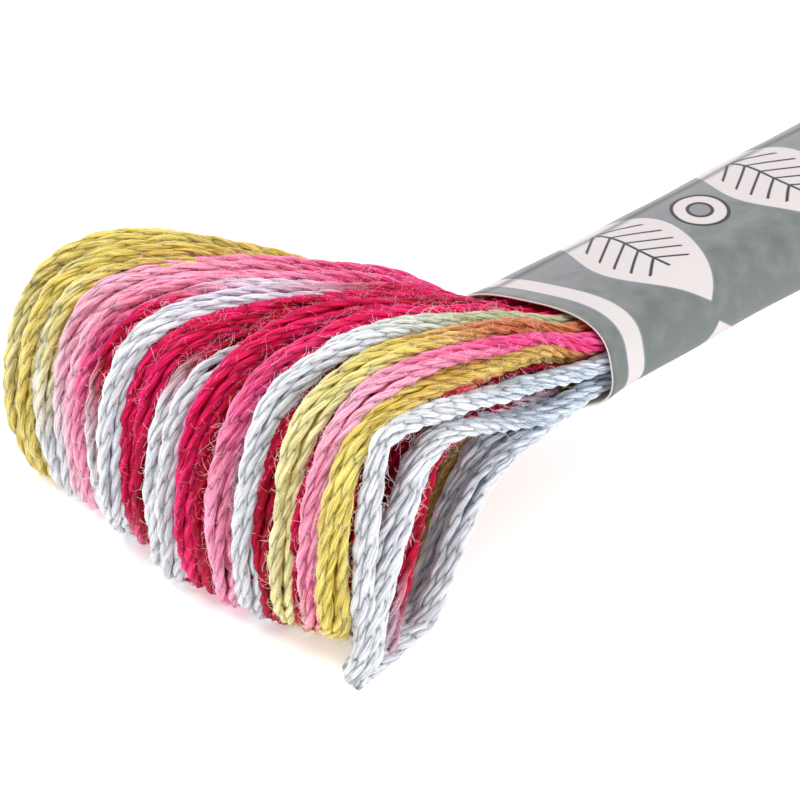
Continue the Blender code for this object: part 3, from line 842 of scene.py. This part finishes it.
def rolled_paper():
    """Closed strip round the floss: its outer face forwards, then its inner face back.

    Its distance from the sleeve's section is the sum of slow sine ripples, a flare that
    dies away from each mouth, and the lap's step, eased in just before the strip comes
    round to its own start. The print's map is millimetres along the sleeve and round it
    from the middle of its upper side.
    """
    ends = np.linspace(-1.0, 1.0, SLEEVE_STATIONS)
    x = np.sin(STATION_ANGLE * ends) / np.sin(STATION_ANGLE)
    x = SLEEVE_LENGTH * (0.5 + 0.5 * x)
    degrees = LAP_START + np.linspace(0.0, 360.0 + LAP_DEGREES, SLEEVE_SIDES)
    section = np.stack(sleeve_section(degrees, SLEEVE_HALF_WIDTH, SLEEVE_HALF_HEIGHT), axis=1)
    run = np.gradient(section, axis=0)
    outward = np.stack([run[:, 1], -run[:, 0]], axis=1)
    outward /= np.linalg.norm(outward, axis=1, keepdims=True)
    round_it = distances(section)
    round_it -= np.interp(UPPER_MIDDLE, degrees, round_it)

    angle = np.radians(degrees)
    lap = np.clip((degrees - LAP_START - (360.0 - LAP_EASE)) / LAP_EASE, 0.0, 1.0)
    offset = LAP_STEP * lap * lap * (3 - 2 * lap)
    for height, along_waves, round_waves, phase in RIPPLES:
        offset = offset + height * np.sin(along_waves * x[:, None] + round_waves * angle + phase)
    mouth = np.minimum(x, SLEEVE_LENGTH - x)[:, None]
    flare = FLARE * np.exp(-(mouth / FLARE_LENGTH) ** 2)
    offset = offset + flare * (1 + FLARE_UNEVEN * np.sin(angle - FLARE_TURNED))
    along = np.broadcast_to(x[:, None], offset.shape)

    def face(depth):
        ring = section + outward * (offset[..., None] - depth)
        return np.concatenate([along[..., None], ring], axis=2)

    loop = np.concatenate([face(0.0), face(PAPER)[:, ::-1]], axis=1)
    along = np.concatenate([along, np.full(along.shape, UNPRINTED)], axis=1)
    back_and_forth = np.broadcast_to(np.concatenate([round_it, round_it[::-1]]), along.shape)
    return loop, np.stack([along, back_and_forth], axis=-1)


def paper_sleeve():
    """The rolled strip's mesh: a grid that closes on itself, and its two cut edges."""
    loop, print_map = rolled_paper()
    stations, sides = loop.shape[:2]
    index = np.arange(stations * sides).reshape(stations, sides)
    beside = np.roll(index, -1, axis=1)
    skin = np.stack([index[:-1], beside[:-1], beside[1:], index[1:]], axis=-1).reshape(-1, 4)
    outer, inner = index[:, :SLEEVE_SIDES], index[:, SLEEVE_SIDES:][:, ::-1]
    near = np.stack([outer[0, :-1], inner[0, :-1], inner[0, 1:], outer[0, 1:]], axis=-1)
    far = np.stack([outer[-1, :-1], outer[-1, 1:], inner[-1, 1:], inner[-1, :-1]], axis=-1)
    faces = np.concatenate([skin, near, far])

    # The bake's map: the skin fills the square but for a margin, and the two cut edges
    # lie in the margin along its bottom and its top.
    spread = np.stack(np.meshgrid(
        np.arange(sides + 1) / sides, np.arange(stations) / (stations - 1)), axis=-1)
    cells = np.stack([spread[:-1, :-1], spread[:-1, 1:], spread[1:, 1:], spread[1:, :-1]], axis=-2)
    cells = SHEET_MARGIN + (1 - 2 * SHEET_MARGIN) * cells.reshape(-1, 2)
    step = np.arange(SLEEVE_SIDES - 1)
    rim_x = np.stack([step, step, step + 1, step + 1], axis=-1) / SLEEVE_SIDES
    rim_y = np.broadcast_to([RIM_LOW, RIM_HIGH, RIM_HIGH, RIM_LOW], rim_x.shape)
    rim = np.stack([rim_x, rim_y], axis=-1).reshape(-1, 2)
    maps = {
        "print": print_map.reshape(-1, 2)[faces].reshape(-1, 2),
        "OFBake": np.concatenate([cells, rim, 1 - rim]),
    }
    return surface("sleeve", place(loop.reshape(-1, 3)), [faces], maps)


def printed_paper_group():
    """Shader group: the sleeve's design, worked out in millimetres on the print's map.

    Grey ground, mottled and darkened towards the near side by painted shade; a pale stripe
    near each mouth; a row of pale leaf shapes down the upper and the lower side, each between
    two parabolas and swaying to and fro, with a thin dark rim, a middle vein and slanting side
    veins; a pale oval button, outlined and with a hole, between each leaf and the next; and a
    soft dark line of painted shade where the paper bends down at its far edge.
    """
    group, start, end = node_group("printed_paper", {"Place": "Vector"}, {"Colour": "Color"})
    nodes, links = group.nodes, group.links

    def maths(operation, *values, clamp=False):
        return math_node(group, operation, *values, clamp=clamp)

    def inside(value, edge, soft=PRINT_SOFTNESS):
        """1 where the value is under the edge, fading to 0 over a soft rim."""
        return maths("MULTIPLY_ADD", value, -1 / soft, 0.5 + edge / soft, clamp=True)

    def rim(value, edge, half=PRINT_RIM):
        """1 within half a line's width of the edge."""
        return inside(maths("ABSOLUTE", maths("SUBTRACT", value, edge)), half)

    def over(below, above, mask):
        """The colour above where the mask is 1 and the colour below where it is 0."""
        mix = nodes.new("ShaderNodeMix")
        mix.data_type = "RGBA"
        links.new(mask, mix.inputs["Factor"])
        for slot, colour in ((6, below), (7, above)):
            if isinstance(colour, tuple):
                mix.inputs[slot].default_value = (*linear(colour), 1)
            else:
                links.new(colour, mix.inputs[slot])
        return mix.outputs[2]

    split = nodes.new("ShaderNodeSeparateXYZ")
    links.new(start.outputs[0], split.inputs[0])
    x, around = split.outputs["X"], split.outputs["Y"]
    middle = SLEEVE_LENGTH / 2
    from_mouth = maths("SUBTRACT", middle, maths("ABSOLUTE", maths("SUBTRACT", x, middle)))
    mottle = noise_node(group, start.outputs[0], MOTTLE_SCALE, MOTTLE_DETAIL).outputs[0]
    mottle_and_shade = maths("MULTIPLY_ADD", mottle, MOTTLE_CONTRAST, MOTTLE_FROM)
    # Painted shade: more of the deep grey the further round towards the near side.
    mottle_and_shade = maths("MULTIPLY_ADD", around, NEAR_SIDE_SHADE, mottle_and_shade, clamp=True)
    colour = over(PRINT_GREY, PRINT_MOTTLE_AND_SHADE_GREY, mottle_and_shade)

    clear = maths("GREATER_THAN", from_mouth, CLEAR_OF_MOUTH)
    folded = maths("PINGPONG", maths("ADD", around, SLEEVE_ROUND / 4), SLEEVE_ROUND / 2)
    aside = maths("SUBTRACT", folded, SLEEVE_ROUND / 4)
    sway = maths("SINE", maths("MULTIPLY", around, 4 * np.pi / SLEEVE_ROUND))
    swayed = maths("MULTIPLY_ADD", sway, LEAF_SWAY, maths("ADD", x, LEAF_PITCH / 2 - FIRST_LEAF))
    from_gap = maths("PINGPONG", swayed, LEAF_PITCH / 2)
    from_leaf = maths("SUBTRACT", LEAF_PITCH / 2, from_gap)
    arch = maths("POWER", maths("ABSOLUTE", maths("DIVIDE", aside, LEAF_HALF_WIDTH)), 2.0)
    bulge = maths("MULTIPLY_ADD", arch, LEAF_ROUNDNESS, from_leaf)
    leaf_edge = LEAF_PITCH / 4 + LEAF_EDGE
    colour = over(colour, PRINT_PALE, maths("MULTIPLY", inside(bulge, leaf_edge), clear))
    colour = over(colour, PRINT_LINE, maths("MULTIPLY", rim(bulge, leaf_edge), clear))

    slant = maths("DIVIDE", maths("MULTIPLY_ADD", from_leaf, VEIN_SLANT, aside), VEIN_PITCH)
    from_vein = maths("ABSOLUTE", maths("SUBTRACT", maths("FRACT", slant), 0.5))
    within_leaf = inside(bulge, leaf_edge - VEIN_GAP)
    side_veins = maths("MULTIPLY", inside(from_vein, VEIN_HALF), within_leaf)
    veins = maths("MAXIMUM", inside(from_leaf, VEIN_HALF), side_veins)
    veins = maths("MULTIPLY", veins, inside(maths("ABSOLUTE", aside), VEIN_REACH))
    colour = over(colour, PRINT_AND_SHADE_DARK, maths("MULTIPLY", veins, clear))

    drawn = maths("DIVIDE", aside, BUTTON_LENGTH)
    oval = maths("ADD", maths("MULTIPLY", from_gap, from_gap), maths("MULTIPLY", drawn, drawn))
    oval = maths("SQRT", oval)
    past_leaf = maths("GREATER_THAN", from_mouth, FIRST_LEAF)
    for edge, fill in ((BUTTON_HALF, PRINT_PALE), (BUTTON_HOLE, PRINT_GREY)):
        colour = over(colour, fill, maths("MULTIPLY", inside(oval, edge), past_leaf))
        outline = rim(oval, edge, BUTTON_RIM)
        colour = over(colour, PRINT_AND_SHADE_DARK, maths("MULTIPLY", outline, past_leaf))

    off_stripe = maths("ABSOLUTE", maths("SUBTRACT", from_mouth, STRIPE_MIDDLE))
    colour = over(colour, PRINT_PALE, inside(off_stripe, STRIPE_HALF))
    colour = over(colour, PRINT_LINE, rim(off_stripe, STRIPE_HALF))
    # Painted shade: a soft dark line where the paper bends down at its far edge.
    off_shade_line = maths("ABSOLUTE", maths("SUBTRACT", around, SHADE_LINE_AT))
    shade_line = maths("MULTIPLY", inside(off_shade_line, SHADE_LINE_HALF, SHADE_LINE_SOFTNESS), SHADE_LINE_DARKNESS)
    colour = over(colour, PRINT_AND_SHADE_DARK, shade_line)
    printed = maths("GREATER_THAN", x, PRINT_START)
    links.new(over(PAPER_BACK, colour, printed), end.inputs[0])
    return group


def paper_material():
    """Smooth coated paper: the printed design, read on the print's map."""
    material, tree, shader = principled("printed_paper", {
        "Roughness": PAPER_ROUGHNESS, "Specular IOR Level": PAPER_SPECULAR})
    design = tree.nodes.new("ShaderNodeGroup")
    design.node_tree = printed_paper_group()
    where = tree.nodes.new("ShaderNodeUVMap")
    where.uv_map = "print"
    tree.links.new(where.outputs[0], design.inputs[0])
    tree.links.new(design.outputs[0], shader.inputs["Base Color"])
    return material


sleeve = paper_sleeve()
sleeve.data.materials.append(paper_material())
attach(sleeve, "root")
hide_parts("paper_sleeve")


# ---------------------------------------------------------------------------
# Table, light and camera. They are not part of the skein: a plain pale table,
# three soft round lamps, and a close view down along the fan.
# ---------------------------------------------------------------------------
TABLE_HALF = 1.5
TABLE_WHITE, TABLE_ROUGHNESS, TABLE_GLOW = (0.95, 0.95, 0.95, 1), 0.8, 0.35
ROOM_LIGHT = 0.62
table_mesh = bpy.data.meshes.new("table")
corners = [(-TABLE_HALF, -TABLE_HALF, 0), (TABLE_HALF, -TABLE_HALF, 0),
           (TABLE_HALF, TABLE_HALF, 0), (-TABLE_HALF, TABLE_HALF, 0)]
table_mesh.from_pydata(corners, [], [(0, 1, 2, 3)])
table = bpy.data.objects.new("table", table_mesh)
bpy.context.scene.collection.objects.link(table)
table_mesh.materials.append(principled("table", {
    "Base Color": TABLE_WHITE, "Roughness": TABLE_ROUGHNESS,
    "Emission Color": (1, 1, 1, 1), "Emission Strength": TABLE_GLOW,
})[0])

world = bpy.data.worlds.new("studio")
world.use_nodes = True
room = world.node_tree.nodes["Background"]
room.inputs["Color"].default_value = (1, 1, 1, 1)
room.inputs["Strength"].default_value = ROOM_LIGHT
bpy.context.scene.world = world

CAMERA_AZIMUTH, CAMERA_ELEVATION = np.radians(-47.0), np.radians(30.0)
CAMERA_DISTANCE = 250.0
PIXELS_PER_MM = 21.5  # at the sleeve's mouth
MOUTH_PIXEL = (531.0, 349.7)
FRAME_PIXELS = 800
SENSOR = 36.0
back = np.array([
    np.sin(CAMERA_AZIMUTH) * np.cos(CAMERA_ELEVATION),
    -np.cos(CAMERA_AZIMUTH) * np.cos(CAMERA_ELEVATION),
    np.sin(CAMERA_ELEVATION),
])
right = np.array([np.cos(CAMERA_AZIMUTH), np.sin(CAMERA_AZIMUTH), 0.0])
up = np.cross(back, right)
aim = np.array([0.0, 0.0, SLEEVE_CENTRE_Z])
aim = aim + right * (FRAME_PIXELS / 2 - MOUTH_PIXEL[0]) / PIXELS_PER_MM
aim = aim - up * (FRAME_PIXELS / 2 - MOUTH_PIXEL[1]) / PIXELS_PER_MM

LAMPS = (
    # name, direction from the aim, distance, size, power
    ("key", -0.55 * right + 0.95 * up + 0.35 * back, 0.60, 0.40, 3.1),
    ("fill", 0.9 * right + 0.2 * up + 0.6 * back, 0.70, 0.50, 3.0),
    ("front", -0.3 * right - 0.1 * up + 1.0 * back, 0.80, 0.50, 0.9),
)
for name, direction, distance, size, power in LAMPS:
    lamp = bpy.data.lights.new(name, "AREA")
    lamp.shape = "DISK"
    lamp.size = size
    lamp.energy = power
    holder = bpy.data.objects.new(name, lamp)
    bpy.context.scene.collection.objects.link(holder)
    facing = Vector(direction).normalized()
    holder.location = Vector(place(aim)) + facing * distance
    holder.rotation_euler = facing.to_track_quat("Z", "Y").to_euler()

camera_data = bpy.data.cameras.new("camera")
camera_data.sensor_width = SENSOR
camera_data.lens = PIXELS_PER_MM * CAMERA_DISTANCE / FRAME_PIXELS * SENSOR
camera_data.clip_start = 0.01
camera_data.clip_end = 20.0
camera = bpy.data.objects.new("camera", camera_data)
bpy.context.scene.collection.objects.link(camera)
axes = Matrix((right, up, back)).transposed()
camera.matrix_world = Matrix.Translation(place(aim + back * CAMERA_DISTANCE)) @ axes.to_4x4()
bpy.context.scene.camera = camera
bpy.context.scene.view_settings.view_transform = "Standard"
